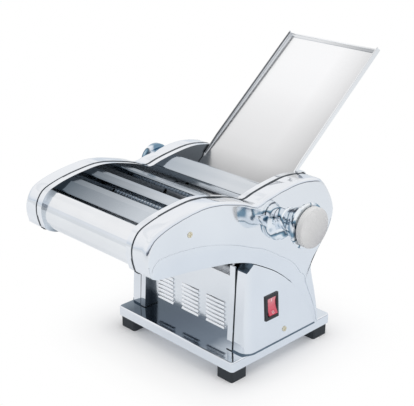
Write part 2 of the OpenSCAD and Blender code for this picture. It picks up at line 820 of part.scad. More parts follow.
module narrow_rear_gears() {
  color(brass) {
    cutter_gear(narrow_rear_turn, narrow_rear);
    left_gear(cutter_teeth, train_module, narrow_drive_turn, train_in, train_out, narrow_rear,
      cutter_journal_r);
  }
}

module narrow_front_gears() {
  color(brass) {
    cutter_gear(narrow_front_turn, narrow_front);
    left_gear(link_teeth, train_module, 0, link_gear_in, link_gear_out, narrow_front, cutter_journal_r);
  }
}

module wide_rear_gears() {
  color(brass) {
    right_cutter_gear(wide_rear_turn, wide_rear);
    left_gear(link_teeth, train_module, link_turn, link_gear_in, link_gear_out, wide_rear,
      cutter_journal_r);
  }
}

module wide_front_gear() {
  color(brass) right_cutter_gear(wide_front_turn, wide_front);
}

// ---------------------------------------------------------------- thickness adjustment

throw = gap_travel / 2;
pin_r = 2.4;
pin_play = 0.55;
block_in = frame_in - 0.4;
flange_in = plate_out + 0.4;
flange_out = flange_in + 2.8;
ear_w = 16;
ear_top = knob_axis[1] + 8;

// A bearing block slides in its frame's window; the knob's crank pin works in the slot above.
module bearing_block() {
  difference() {
    union() {
      translate([block_in, front_roller[0] - block_w / 2, front_roller[1] - block_h / 2])
        cube([flange_out - block_in, block_w, block_h]);
      translate([flange_in, front_roller[0] - ear_w / 2, front_roller[1]])
        cube([flange_out - flange_in, ear_w, ear_top - front_roller[1]]);
    }
    rod(block_in - 1, flange_out + 1, journal_r + run_gap, front_roller);
    translate([flange_in - 1, knob_axis[0] + throw - pin_r - pin_play, knob_axis[1] - pin_r - 1.6])
      cube([6, 2 * (pin_r + pin_play), 2 * (pin_r + 1.6)]);
  }
}

module bearing_blocks() {
  color(brass) left_and_right() bearing_block();
}

crank_in = flange_out + 0.25;
crank_out = crank_in + 2;

module crank() {
  union() {
    rod(crank_in, crank_out, knob_shaft_r + 0.5, knob_axis);
    rod(crank_out - 0.5, cover_out + 10, knob_shaft_r, knob_axis);
    rod(flange_in, crank_in + 0.5, pin_r, knob_axis + [throw, 0]);
  }
}

module right_knob_shaft() {
  color(steel) crank();
}

module left_knob_shaft() {
  color(steel) mirror([1, 0, 0]) crank();
}

module knob_bushes() {
  color(brass) left_and_right() bush(cover_out - 12, cover_out, knob_bush_r, knob_shaft_r + run_gap,
    knob_axis);
}

knob_gap = 0.4;
knob_back = cover_out + knob_gap;
collar_r = 1.09 * knob_r;
cap_h = 10;
// Trumpet of the knob from the cover to the cap, as [radius, x] for the middle size of knob.
trumpet = [
  [10.4, 0], [10.4, 3], [10.9, 7], [12, 11], [13.8, 11.6], [14.2, 13.4], [13.6, 15], [14.6, 18], [17.8, 24],
  [21.2, 30], [24.4, 35], [26.8, 39], [28.1, 42], [28.3, 43.6], [27.4, 45], [0, 45]];
function knob_point(p) = [p[0] * knob_r / 27, knob_back + p[1] * (knob_h - cap_h) / 45];

// Half collar round the foot of the knob, with a pointer at its upper end.
module half_collar() {
  intersection() {
    turned([[0, knob_back], [collar_r - 1, knob_back], [collar_r, knob_back + 1], [collar_r, knob_back + 4],
            [collar_r - 1, knob_back + 6.5], [collar_r - 4.5, knob_back + 10],
            [collar_r - 8, knob_back + 11.5],
            [0, knob_back + 12]], knob_axis);
    across(knob_back - 1, knob_back + 20) polygon([for (p = [[0, 1], [-16, 0.6], [-22, 3.4], [-29, 9.2],
      [-45, 9.2],
      [-45, -45], [45, -45], [45, -6], [24, -6], [16, 0.6]]) knob_axis + p]);
  }
}

module pointer() {
  across(knob_back, knob_back + 6) polygon([for (p = [[-21, 3], [-28, 9.2], [-36.4, 9.4], [-37, 6.5],
    [-collar_r + 0.4, -5], [-20, -4]]) knob_axis + p]);
}

// Chrome knob: a half collar with a pointer, and a trumpet that opens to the cap.
module right_knob() {
  color(chrome) difference() {
    union() {
      turned(concat([[0, knob_back]], [for (p = trumpet) knob_point(p)]), knob_axis);
      half_collar();
      pointer();
    }
    rod(knob_back - 1, cover_out + 10, knob_shaft_r, knob_axis);
  }
}

module knob_cap() {
  face = knob_back + knob_h - cap_h;
  color(grey_plastic) turned(concat(
    [[0, face], [knob_r - 1, face]],
    [for (a = [-30:15:90]) [knob_r - 6.5 + 6.5 * cos(a), face + 3.4 + 4.6 * sin(a)]],
    [[knob_r - 12, face + 9], [knob_r - 19, face + 9.8], [0, face + cap_h]]), knob_axis);
}

// Left knob: a short chrome lever with a broad rounded end that points up.
module left_knob() {
  reach = 14;
  color(chrome) mirror([1, 0, 0]) difference() {
    union() {
      turned([[0, knob_back], [17, knob_back], [17.5, knob_back + 0.8], [17.5, knob_back + 9],
              [15, knob_back + 12], [0, knob_back + 13.5]], knob_axis);
      turned([[0, knob_back], [22.5, knob_back], [23.5, knob_back + 1.2], [23.5, knob_back + 6],
              [21, knob_back + 8.5], [14, knob_back + 10.5], [0, knob_back + 11.5]],
             knob_axis + [2, reach]);
    }
    rod(knob_back - 1, cover_out + 10, knob_shaft_r, knob_axis);
  }
}

// ---------------------------------------------------------------- motor

motor_at = [-6, 78];
motor_r = 36;
gearbox_left = -frame_in + 0.5;
gearbox_right = gearbox_left + 30;

module gearbox() {
  color(dark_steel) difference() {
    across(gearbox_left, gearbox_right) polygon(concat(
      arc(motor_at, 39, 150, 320, 14), arc([motor_shaft[0] - 1, motor_shaft[1] - 6], 14, -20, 90, 6),
      [[-14, 116]]));
    rod(gearbox_left - 1, gearbox_left + 24, motor_shaft_r + run_gap, motor_shaft);
  }
}

module motor() {
  color(black) union() {
    rod(gearbox_right, gearbox_right + 74, motor_r, motor_at);
    rod(gearbox_right + 74, gearbox_right + 82, motor_r - 8, motor_at);
    for (a = [0:30:330]) translate([0, motor_at[0], motor_at[1]]) rotate([a, 0, 0])
      translate([gearbox_right + 4, -1, motor_r - 1]) cube([66, 2, 2.6]);
    translate([gearbox_right + 2, motor_at[0] - 20, base_top]) cube([70, 40,
      motor_at[1] - motor_r - base_top + 4]);
  }
}

module output_shaft() {
  color(steel) union() {
    rod(-train_out - 1, gearbox_left + 23, motor_shaft_r, motor_shaft);
  }
}

module motor_pinion() {
  color(steel) left_gear(pinion_teeth, train_module, pinion_turn, train_in, train_out, motor_shaft,
    motor_shaft_r);
}

// Screw heads on the gearbox's inner face, beside the motor.
module motor_screws() {
  color(steel) for (s = [[4, 121], [15, 131], [27, 110]]) rod(gearbox_right, gearbox_right + 2.4, 2.6, s);
}

// ---------------------------------------------------------------- switch

bezel_lip = 2.2;
bezel_proud = 1.6;
rocker_play = 0.45;

module switch_bezel() {
  color(black) on_housing(switch_at) difference() {
    union() {
      translate([bezel_proud / 2 + 0.05, 0, 0])
        cube([bezel_proud, switch_cut_w + 2 * bezel_lip, switch_cut_h + 2 * bezel_lip], center = true);
      translate([-9, 0, 0]) cube([18.2, switch_cut_w, switch_cut_h], center = true);
    }
    translate([0, 0, 0]) cube([22, rocker_w + 2 * rocker_play, rocker_h + 2 * rocker_play], center = true);
    translate([-5, 0, 0]) rotate([90, 0, 0]) cylinder(h = rocker_w + 4, r = 1.7, center = true);
  }
}

rocker_pivot = -5;
rocker_tilt = 7.5;
rocker_corner = rocker_h / 2 - 0.9;

module switch_rocker() {
  color([0.86, 0.30, 0.34]) on_housing(switch_at)
    translate([rocker_pivot, 0, 0]) rotate([0, -rocker_tilt, 0])
    union() {
      rotate([90, 0, 0]) linear_extrude(rocker_w, center = true) polygon([
        [-3, -4], [-3, 4], [3.2, rocker_corner - 0.7], [7.6, rocker_corner], [5.6, 5], [5.2, 0], [5.6, -5],
        [7.6, -rocker_corner], [3.2, 0.7 - rocker_corner]]);
      rotate([90, 0, 0]) cylinder(h = rocker_w + 3.4, r = 1.6, center = true);
    }
}

// ---------------------------------------------------------------- screws, inlet and tray

module head_with_cross(r) {
  difference() {
    translate([-1.2, 0, 0]) rotate([0, 90, 0]) cylinder(h = 1.9, r = r);
    for (a = [0, 90]) rotate([a, 0, 0]) translate([0.8, 0, 0]) cube([1.4, 1, 1.5 * r], center = true);
  }
}

module cover_screws() {
  color(brass) left_and_right() {
    translate([cover_out, cover_screw[0], cover_screw[1]]) head_with_cross(screw_r - 0.1);
    on_housing(housing_screw) translate([0.2, 0, 0]) head_with_cross(screw_r - 0.1);
  }
}

module power_inlet() {
  color(black) difference() {
    union() {
      translate([inlet_at[0] - inlet_w / 2, back_y - 14, inlet_at[1] - inlet_h / 2])
        cube([inlet_w, 14, inlet_h]);
      translate([inlet_at[0] - inlet_w / 2 - 3, back_y, inlet_at[1] - inlet_h / 2 - 3])
        cube([inlet_w + 6, 2, inlet_h + 6]);
    }
    translate([inlet_at[0] - inlet_w / 2 + 2, back_y - 11, inlet_at[1] - inlet_h / 2 + 2])
      cube([inlet_w - 4, 16, inlet_h - 4]);
  }
}

module inlet_pins() {
  color(steel) for (p = [[-6, -2], [6, -2], [0, 3]])
    translate([inlet_at[0] + p[0] - 1, back_y - 11, inlet_at[1] + p[1] - 2]) cube([2, 9.5, 4]);
}

hem_r = 1.4;

module feed_tray() {
  color(steel) union() {
    across(-tray_w / 2, tray_w / 2) polygon([
      on_tray(0, 0), on_tray(tray_l, 0), on_tray(tray_l, tray_sheet), on_tray(0, tray_sheet)]);
    rod(-tray_w / 2, tray_w / 2, hem_r, on_tray(tray_l, hem_r));
    for (s = [-1, 1]) across(s * tray_w / 2 - (s > 0 ? tray_sheet : 0),
      s * tray_w / 2 + (s > 0 ? 0 : tray_sheet))
      polygon([on_tray(34, 0), on_tray(tray_l, 0), on_tray(tray_l, lip_h), on_tray(70, lip_h * 0.7),
        on_tray(40, 3.4)]);
  }
}

// ---------------------------------------------------------------- scrapers

scraper_gap = 0.35;
module roller_scrapers() {
  color(steel) for (c = [[rear_roller, 298], [front_roller + [-gap_travel, 0], 248]]) let (
      tip = spot(c[0], roller_r + scraper_gap, c[1]), far = spot(c[0], roller_r + 9,
        c[1] + (c[1] > 270 ? 14 : -14)))
    across(-frame_in, frame_in) polygon([tip, far, far + [0.6, -1.2], tip + [0.9, -0.6]]);
}

placed() base_tray();
placed() rubber_feet();
placed() right_side_frame();
placed() left_side_frame();
placed() right_upper_cover();
placed() left_upper_cover();
placed() right_lower_housing();
placed() left_lower_housing();
placed() vent_panel();
placed() back_panel();
placed() deck_plate();
placed() front_guard();
placed() front_slat();
placed() middle_slat();
placed() rear_slat();
placed() guide_plate();
placed() rear_shell();
placed() tie_rods();
placed() rear_roller_core();
placed() front_roller_core();
placed() rear_roller_bushes();
placed() cutter_bushes();
placed() drive_gear();
placed() rear_roller_gear();
placed() front_roller_gear();
placed() first_idler_gear();
placed() second_idler_gear();
placed() third_idler_gear();
placed() idler_pins();
placed() idler_strap();
placed() wide_cutter_front();
placed() wide_cutter_rear();
placed() narrow_cutter_front();
placed() narrow_cutter_rear();
placed() wide_front_gear();
placed() wide_rear_gears();
placed() narrow_front_gears();
placed() narrow_rear_gears();
placed() bearing_blocks();
placed() right_knob_shaft();
placed() left_knob_shaft();
placed() knob_bushes();
placed() right_knob();
placed() knob_cap();
placed() left_knob();
placed() gearbox();
placed() motor();
placed() output_shaft();
placed() motor_pinion();
placed() motor_screws();
placed() switch_bezel();
placed() switch_rocker();
placed() cover_screws();
placed() power_inlet();
placed() inlet_pins();
placed() feed_tray();
placed() roller_scrapers();
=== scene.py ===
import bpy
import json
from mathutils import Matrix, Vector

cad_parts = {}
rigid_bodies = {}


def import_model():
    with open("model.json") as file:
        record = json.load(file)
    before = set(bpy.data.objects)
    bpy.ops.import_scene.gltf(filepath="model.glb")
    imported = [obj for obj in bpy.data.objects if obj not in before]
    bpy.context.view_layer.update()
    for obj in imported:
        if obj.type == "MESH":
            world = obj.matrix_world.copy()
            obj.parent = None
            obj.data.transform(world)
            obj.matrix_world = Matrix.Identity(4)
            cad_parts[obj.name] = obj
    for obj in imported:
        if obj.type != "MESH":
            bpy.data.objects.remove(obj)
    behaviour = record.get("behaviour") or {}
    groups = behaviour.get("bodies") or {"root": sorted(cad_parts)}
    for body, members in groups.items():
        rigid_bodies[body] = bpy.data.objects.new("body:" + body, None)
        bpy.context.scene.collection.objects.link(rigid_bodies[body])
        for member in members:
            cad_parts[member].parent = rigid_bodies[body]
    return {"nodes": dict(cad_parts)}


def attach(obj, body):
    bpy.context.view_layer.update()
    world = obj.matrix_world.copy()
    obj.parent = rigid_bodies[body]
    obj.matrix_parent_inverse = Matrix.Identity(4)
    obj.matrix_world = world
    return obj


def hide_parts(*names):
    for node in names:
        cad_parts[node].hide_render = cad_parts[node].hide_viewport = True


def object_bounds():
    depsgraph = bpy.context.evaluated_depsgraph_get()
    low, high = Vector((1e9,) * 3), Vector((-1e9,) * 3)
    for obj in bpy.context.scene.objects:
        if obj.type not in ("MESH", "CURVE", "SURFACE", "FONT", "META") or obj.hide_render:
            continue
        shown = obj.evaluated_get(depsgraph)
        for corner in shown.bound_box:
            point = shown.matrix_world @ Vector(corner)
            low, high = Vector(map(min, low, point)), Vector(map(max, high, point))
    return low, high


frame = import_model()
cad_box = [list(c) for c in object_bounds()]

import json
import math
import bpy
from mathutils import Matrix, Vector

# ---------------------------------------------------------------- Camera
# It stands in front and to the right of the machine, a little above the feed tray, and looks down
# on it through a long lens, so that the uprights stay nearly upright.
look_down, look_left = 21.632, 45.515
eye = bpy.data.cameras.new("eye")
eye.lens = 86.2
eye.sensor_width = 36.0
eye.clip_end = 20.0
eye_object = bpy.data.objects.new("eye", eye)
eye_object.location = (0.8164, -0.8450, 0.6587)
eye_object.rotation_euler = (math.radians(90 - look_down), 0, math.radians(look_left))
bpy.context.scene.collection.objects.link(eye_object)
bpy.context.scene.camera = eye_object
bpy.context.scene.view_settings.view_transform = "Standard"


# ---------------------------------------------------------------- Floor and light
# White sweep of a product studio under three softboxes. The camera sees it white but for the
# machine's soft shadow. For the chrome it carries a painted shadow, greyer round the base.
class Tone:
    """A value in a finish. Sums, products and powers of tones add the Math nodes that they need."""

    def __init__(self, finish, socket):
        self.finish = finish
        self.socket = socket

    def maths(self, operation, other=0.0, clamp=False, reflected=False):
        """One Math node on this tone and another value, which comes first where it is reflected."""
        first, second = (other, self) if reflected else (self, other)
        settings = {"operation": operation, "use_clamp": clamp}
        return self.finish.add("ShaderNodeMath", settings, {0: first, 1: second})[0]

    def __add__(self, other):
        return self.maths("ADD", other)

    def __radd__(self, other):
        return self.maths("ADD", other, reflected=True)

    def __sub__(self, other):
        return self.maths("SUBTRACT", other)

    def __rsub__(self, other):
        return self.maths("SUBTRACT", other, reflected=True)

    def __mul__(self, other):
        return self.maths("MULTIPLY", other)

    def __rmul__(self, other):
        return self.maths("MULTIPLY", other, reflected=True)

    def __truediv__(self, other):
        return self.maths("DIVIDE", other)

    def __pow__(self, other):
        return self.maths("POWER", other)

    def __gt__(self, other):
        return self.maths("GREATER_THAN", other)


class Node:
    """A node of a finish. Its outputs are read as tones, by name or by number."""

    def __init__(self, finish, node):
        self.finish = finish
        self.node = node

    def __getitem__(self, output):
        return Tone(self.finish, self.node.outputs[output])


class Finish:
    """A material of this machine, or the air round it, put together node by node."""

    def __init__(self, name, kind="materials"):
        self.material = getattr(bpy.data, kind).new(name)
        self.material.use_nodes = True
        self.tree = self.material.node_tree
        self.tree.nodes.clear()
        self.place = self.add("ShaderNodeTexCoord", {}, {})["Object"]

    def add(self, kind, settings, inputs):
        """A new node, with its settings set first and its sockets then linked or given values."""
        node = self.tree.nodes.new(kind)
        for key, value in settings.items():
            if key == "stops":
                ramp = node.color_ramp
                for i, (at, colour) in enumerate(value):
                    stop = ramp.elements[i] if i < 2 else ramp.elements.new(at)
                    stop.position = at
                    stop.color = (*colour, 1)
            else:
                setattr(node, key, value)
        for key, value in inputs.items():
            if isinstance(value, Tone):
                self.tree.links.new(value.socket, node.inputs[key])
            else:
                node.inputs[key].default_value = value
        return Node(self, node)

    def axes(self, where=None):
        """The place on the piece, read as "X", "Y" and "Z"."""
        return self.add("ShaderNodeSeparateXYZ", {}, {0: where or self.place})

    def stretched(self, x, y, z):
        """The place, scaled along each axis. A share below 1 draws a pattern out along it."""
        return self.add("ShaderNodeMapping", {}, {"Vector": self.place, "Scale": (x, y, z)})["Vector"]

    def clouds(self, size, detail, rough, where=None):
        """Soft patches of one size, from 0 to 1."""
        inputs = {"Vector": where or self.place, "Scale": 1.0 / size, "Detail": detail, "Roughness": rough}
        return self.add("ShaderNodeTexNoise", {}, inputs)["Fac"]

    def between(self, share, low, high, how="MIX"):
        """The first colour, mixed with the second by share, or darkened by it with MULTIPLY."""
        low, high = (c if isinstance(c, Tone) else (*c, 1) for c in (low, high))
        return self.add("ShaderNodeMix", {"data_type": "RGBA", "blend_type": how}, {
            0: share, 6: low, 7: high})[2]

    def ramp(self, share, *stops):
        """The colours of the stops, one after the other as share grows. A number stands for a grey."""
        stops = [(at, (c,) * 3 if isinstance(c, (int, float)) else c) for at, c in stops]
        return self.add("ShaderNodeValToRGB", {"stops": stops}, {"Fac": share})["Color"]

    def raised(self, height, depth, strength):
        """A normal for relief of a given depth."""
        return self.add("ShaderNodeBump", {}, {
            "Height": height, "Distance": depth, "Strength": strength})["Normal"]

    def either(self, share, first, second):
        """The first of two lights or surfaces, or the second where share is 1."""
        return self.add("ShaderNodeMixShader", {}, {0: share, 1: first, 2: second})[0]

    def shade(self, **values):
        """Closes the finish with the surface that it describes."""
        names = {"colour": "Base Color", "rough": "Roughness", "metal": "Metallic",
                 "normal": "Normal", "coat": "Coat Weight"}
        surface = self.add("ShaderNodeBsdfPrincipled", {}, {names[k]: v for k, v in values.items()})
        self.add("ShaderNodeOutputMaterial", {}, {"Surface": surface["BSDF"]})
        return self.material


bpy.ops.object.select_all(action="DESELECT")
bpy.ops.mesh.primitive_plane_add(size=14, location=(0, 0, 0))
floor = bpy.context.object
floor.name = "studio_floor"
sweep = Finish("studio_white")


def away_from(x, y):
    """How far a point of the floor is from one place on it."""
    place = {0: sweep.place, 1: (x, y, 0)}
    return sweep.add("ShaderNodeVectorMath", {"operation": "DISTANCE"}, place)["Value"]


def past_base(along, middle, half):
    """How far a point of the floor lies past the base's edge along one axis, and 0 under the base."""
    return ((along - middle).maths("ABSOLUTE") - half).maths("MAXIMUM", 0.0)


# Painted shadow on the floor, seen only in the metal: greyer near the machine's front left and right.
before_vents = sweep.ramp(
    away_from(-0.30, -0.20), (0.05, (0.72, 0.75, 0.79)), (0.16, (0.86, 0.88, 0.91)),
    (0.24, (0.80, 0.83, 0.87)), (0.45, (0.82, 0.85, 0.88)))
below_switch = sweep.ramp(
    away_from(0.20, 0.10), (0.10, (0.86, 0.91, 0.97)), (0.35, (0.96, 0.98, 1.0)), (0.8, 1))
painted_shade_in_metal = sweep.between(1.0, before_vents, below_switch, "MULTIPLY")
spot = sweep.axes()
beyond_side = past_base(spot["X"], middle=-0.021, half=0.100)
beyond_front = past_base(spot["Y"], middle=0.008, half=0.086)
from_base = (beyond_side * beyond_side + beyond_front * beyond_front) ** 0.5
open_floor = sweep.ramp(from_base, (0.0, 0.05), (0.018, 0.3), (0.045, 0.68), (0.085, 0.93), (0.12, 1))
rays = sweep.add("ShaderNodeLightPath", {}, {})
shadowed = sweep.add("ShaderNodeBsdfDiffuse", {}, {"Color": (0.99, 0.99, 1.0, 1)})["BSDF"]
white = sweep.add("ShaderNodeEmission", {}, {"Color": (1, 1, 1, 1), "Strength": 1.0})["Emission"]
painted_floor_shade = sweep.add("ShaderNodeEmission", {}, {"Color": painted_shade_in_metal, "Strength": 1.0})["Emission"]
painted_floor_shade_share = 0.7
surface = sweep.either(rays["Is Camera Ray"] * open_floor, shadowed, white)
surface = sweep.either(rays["Is Glossy Ray"] * painted_floor_shade_share, surface, painted_floor_shade)
sweep.add("ShaderNodeOutputMaterial", {}, {"Surface": surface})
floor.data.materials.append(sweep.material)

# The air is white for the camera and softly lit for dull pieces. Chrome sees a pale ceiling in it,
# a dark skirting low on the right and two faint hoops high up.
air = Finish("studio_air", "worlds")
bpy.context.scene.world = air.material
way = air.axes(air.add("ShaderNodeTexCoord", {}, {})["Generated"])
height = way["Z"] * 0.5 + 0.5
ceiling = air.ramp(
    height, (0.0, (0.80, 0.82, 0.85)), (0.49, (0.80, 0.83, 0.87)), (0.53, (0.66, 0.72, 0.79)),
    (0.58, (0.82, 0.85, 0.90)), (0.64, (0.92, 0.93, 0.95)), (0.78, (0.97, 0.97, 0.98)))
skirting = air.ramp(
    height, (0.48, 1), (0.495, (0.14, 0.14, 0.16)), (0.56, (0.20, 0.21, 0.24)),
    (0.61, (0.92, 0.95, 1)), (0.66, (0.84, 0.88, 0.93)), (0.75, (0.93, 0.95, 0.97)))
towards_right = air.ramp(way["X"], (0.25, 0), (0.55, 1))
hoops = air.ramp(
    height, (0.80, 1), (0.815, (0.16, 0.24, 0.32)), (0.83, (0.30, 0.40, 0.50)),
    (0.85, 1), (0.93, 1), (0.945, (0.20, 0.30, 0.40)), (0.965, 1))
hoop_strength = 0.12
mirrored = air.between(towards_right, ceiling, skirting, "MULTIPLY")
mirrored = air.between(hoop_strength, mirrored, hoops, "MULTIPLY")
soft, plain, in_metal = (
    air.add("ShaderNodeBackground", {}, {"Color": colour, "Strength": strength})["Background"]
    for colour, strength in (((1, 1, 1, 1), 0.6), ((1, 1, 1, 1), 1.0), (mirrored, 1.0)))
rays = air.add("ShaderNodeLightPath", {}, {})
look = air.either(rays["Is Glossy Ray"], soft, in_metal)
look = air.either(rays["Is Camera Ray"], look, plain)
air.add("ShaderNodeOutputWorld", {}, {"Surface": look})


def softbox(name, at, towards, size, watts):
    """A lamp behind a white cloth, which the chrome doesn't mirror."""
    lamp = bpy.data.lights.new(name, "AREA")
    lamp.shape = "RECTANGLE"
    lamp.size, lamp.size_y = size
    lamp.energy = watts
    holder = bpy.data.objects.new(name, lamp)
    holder.location = at
    holder.rotation_euler = (Vector(towards) - Vector(at)).to_track_quat("-Z", "Y").to_euler()
    holder.visible_glossy = False
    bpy.context.scene.collection.objects.link(holder)


softbox("top_box", (0.2, 0.1, 1.7), (0, -0.05, 0.15), (1.2, 1.2), 9.0)
softbox("left_box", (-1.3, -1.2, 0.9), (0, -0.05, 0.15), (0.9, 0.9), 6.0)
softbox("right_box", (1.6, 0.3, 0.9), (0, 0, 0.15), (0.8, 1.0), 5.0)


# ---------------------------------------------------------------- Base tray
# Pressed steel tray under bright chrome plate, open below, with a turned-down skirt and a small
# radius round its top edge. Everything else is screwed to it from underneath.
def pick(piece):
    """Selects one object and nothing else, for the operators that follow."""
    bpy.ops.object.select_all(action="DESELECT")
    piece.select_set(True)
    bpy.context.view_layer.objects.active = piece


def copy_of(node, name):
    """A copy of a node's shape with its loose triangles merged, left in edit mode and all selected."""
    piece = bpy.data.objects.new(name, frame["nodes"][node].data.copy())
    bpy.context.scene.collection.objects.link(piece)
    pick(piece)
    bpy.ops.object.mode_set(mode="EDIT")
    bpy.ops.mesh.select_all(action="SELECT")
    bpy.ops.mesh.remove_doubles(threshold=0.00001)
    return piece


def ease_edges(piece, width, segments, sharp=30):
    """Rounds the edges of the picked piece that turn by more than so many degrees."""
    ease = piece.modifiers.new("ease", "BEVEL")
    ease.width = width
    ease.segments = segments
    ease.limit_method = "ANGLE"
    ease.angle_limit = math.radians(sharp)
    bpy.ops.object.modifier_apply(modifier="ease")


def skin_of(node, body, edge=0.0006):
    """The piece that stands for a node: its shape as one skin, with its edges eased by the plating."""
    sharp = 32
    skin = copy_of(node, node + "_skin")
    bpy.ops.mesh.dissolve_limited(angle_limit=math.radians(0.4))
    bpy.ops.object.mode_set(mode="OBJECT")
    ease_edges(skin, edge, 2, sharp)
    bpy.ops.object.shade_smooth_by_angle(angle=math.radians(sharp))
    level = skin.modifiers.new("level", "WEIGHTED_NORMAL")
    level.mode = "FACE_AREA"
    level.weight = 50
    level.keep_sharp = True
    bpy.ops.object.modifier_apply(modifier="level")
    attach(skin, body)
    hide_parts(node)
    return skin


def finish(piece, material, slot):
    """One finish all over a piece."""
    piece.data.materials.clear()
    piece.data.materials.append(material)


def face_with(piece, material, chosen):
    """A second finish, on the faces whose middle and normal are chosen."""
    piece.data.materials.append(material)
    second = len(piece.data.materials) - 1
    for face in piece.data.polygons:
        if chosen(face.center, face.normal):
            face.material_index = second


chrome = Finish("bright_chrome")
waves = chrome.clouds(0.05, 1.0, 0.4)
smudge = chrome.clouds(0.012, 3.0, 0.6)
chrome_plate = chrome.shade(
    colour=chrome.between(waves, (0.82, 0.84, 0.87), (0.89, 0.91, 0.93)), metal=1.0,
    rough=0.05 + smudge * 0.05, normal=chrome.raised(waves, 0.0006, 0.2))
base_skin = skin_of("base_tray", "stand")
finish(base_skin, chrome_plate, "chrome_shell")

# Its top carries a painted reflection of the vent panel and the housings over it: dark, but light at the
# right.
top = Finish("base_top_painted_reflection")
drift = top.clouds(0.03, 2.0, 0.5)
dark_from_x, dark_width = -0.14, 0.24
across_top = (top.axes()["X"] + drift * 0.02 - dark_from_x).maths("DIVIDE", dark_width, clamp=True)
base_top_painted_reflection = top.shade(
    colour=top.ramp(across_top, (0.0, (0.30, 0.36, 0.42)), (0.18, (0.09, 0.12, 0.15)),
                    (0.45, (0.10, 0.13, 0.17)), (0.75, (0.17, 0.21, 0.26)), (0.92, (0.70, 0.75, 0.80))),
    metal=1.0, rough=0.06 + drift * 0.04)
face_with(base_skin, base_top_painted_reflection, lambda at, normal: normal.z > 0.95)


# ---------------------------------------------------------------- Feet, motor and gearbox
# Four moulded rubber feet, screwed up into the corners of the tray. The motor and its gearbox, in the
# same dull black, are bolted down on the tray under the deck.
def dress(material, *nodes):
    """One finish all over each of the nodes."""
    for node in nodes:
        mesh = frame["nodes"][node].data
        mesh.materials.clear()
        mesh.materials.append(material)


rubber = Finish("foot_rubber")
dust = rubber.clouds(0.003, 4.0, 0.7)
foot_rubber = rubber.shade(
    colour=rubber.between(dust, (0.014, 0.018, 0.022), (0.035, 0.042, 0.05)),
    rough=0.6 + dust * 0.25, normal=rubber.raised(dust, 0.0004, 0.5))
dress(foot_rubber, "rubber_feet", "motor", "gearbox")


# ---------------------------------------------------------------- Side frames, covers and housings
# Zinc castings under the same plate. Each hollow cover and housing is screwed to its side frame over
# a thin dark gasket. The frames' inner walls and the housings' tops, under the covers, carry painted
# shade.
def mottled(name, size, detail, evenness, low, high, rough, rougher, metal=1.0):
    """A finish that is lighter and rougher in soft patches of one size."""
    made = Finish(name)
    patches = made.clouds(size, detail, evenness)
    return made.shade(colour=made.between(patches, low, high), metal=metal, rough=rough + patches * rougher)


gasket_black = mottled("gasket_black", 0.002, 2.0, 0.6, (0.012, 0.02, 0.028), (0.03, 0.04, 0.052),
                       0.4, 0.2, metal=0.0)
# Dark slate painted shade, for the housings' tops under the covers and for their foot lines.
under_cover_painted_shade = mottled("under_cover_painted_shade", 0.012, 2.0, 0.5, (0.10, 0.14, 0.18), (0.20, 0.26, 0.32),
                             0.3, 0.1)
nose_y, nose_length = -0.222, 0.03
# Painted shade on the frames' inner walls: light at the nose and darker further behind it.
wall = Finish("inner_wall_painted_shade")
cast = wall.clouds(0.03, 2.0, 0.5)
behind_nose = (wall.axes()["Y"] - nose_y + cast * 0.004) / nose_length
inner_wall_painted_shade = wall.shade(
    colour=wall.ramp(behind_nose, (0.30, (0.74, 0.78, 0.82)), (0.60, (0.40, 0.44, 0.48)),
                     (0.95, (0.18, 0.20, 0.22))),
    metal=1.0, rough=0.16 + cast * 0.08)

# A frame's outer face and a cover's inner edge, measured outwards from the middle of the machine, and
# the width of the dark rim that the gasket leaves on the cover.
middle_x = -0.0209
frame_outside = 0.0862
cover_inside = 0.0875
rim_width = 0.0011
sides = (("right", 1), ("left", -1))
for side, sign in sides:
    frame_skin = skin_of(f"{side}_side_frame", "stand")
    finish(frame_skin, chrome_plate, "chrome_shell")
    face_with(frame_skin, inner_wall_painted_shade, lambda at, normal: normal.x * sign < -0.9)

    cover = skin_of(f"{side}_upper_cover", "stand")
    finish(cover, chrome_plate, "chrome_shell")
    rim = middle_x + sign * (cover_inside + rim_width)
    pick(cover)
    bpy.ops.object.mode_set(mode="EDIT")
    bpy.ops.mesh.select_all(action="SELECT")
    bpy.ops.mesh.bisect(plane_co=(rim, 0, 0), plane_no=(1, 0, 0))
    bpy.ops.object.mode_set(mode="OBJECT")
    face_with(cover, gasket_black, lambda at, normal: (rim - at.x) * sign > 0)

    housing = skin_of(f"{side}_lower_housing", "stand")
    finish(housing, chrome_plate, "chrome_shell")
    # Painted shade on the arched top of each housing, in front, under its cover.
    face_with(housing, under_cover_painted_shade, lambda at, normal: normal.z > 0.2 and at.y < 0.03)

# ---------------------------------------------------------------- Creases, gaskets and painted contact shade
# Each cover keeps a fine satin line where its side face turns under. Black rubber gaskets lie between
# the castings, and a thin dark strip of painted contact shade runs along the foot of each casting
# where it stands on the tray.
base_top = 0.0301
cover_face = 0.1116
foremost_y = cad_box[0][1] + 0.0001
crease_chrome = mottled("crease_chrome", 0.004, 2.0, 0.5, (0.74, 0.78, 0.82), (0.84, 0.87, 0.90),
                        0.34, 0.06)


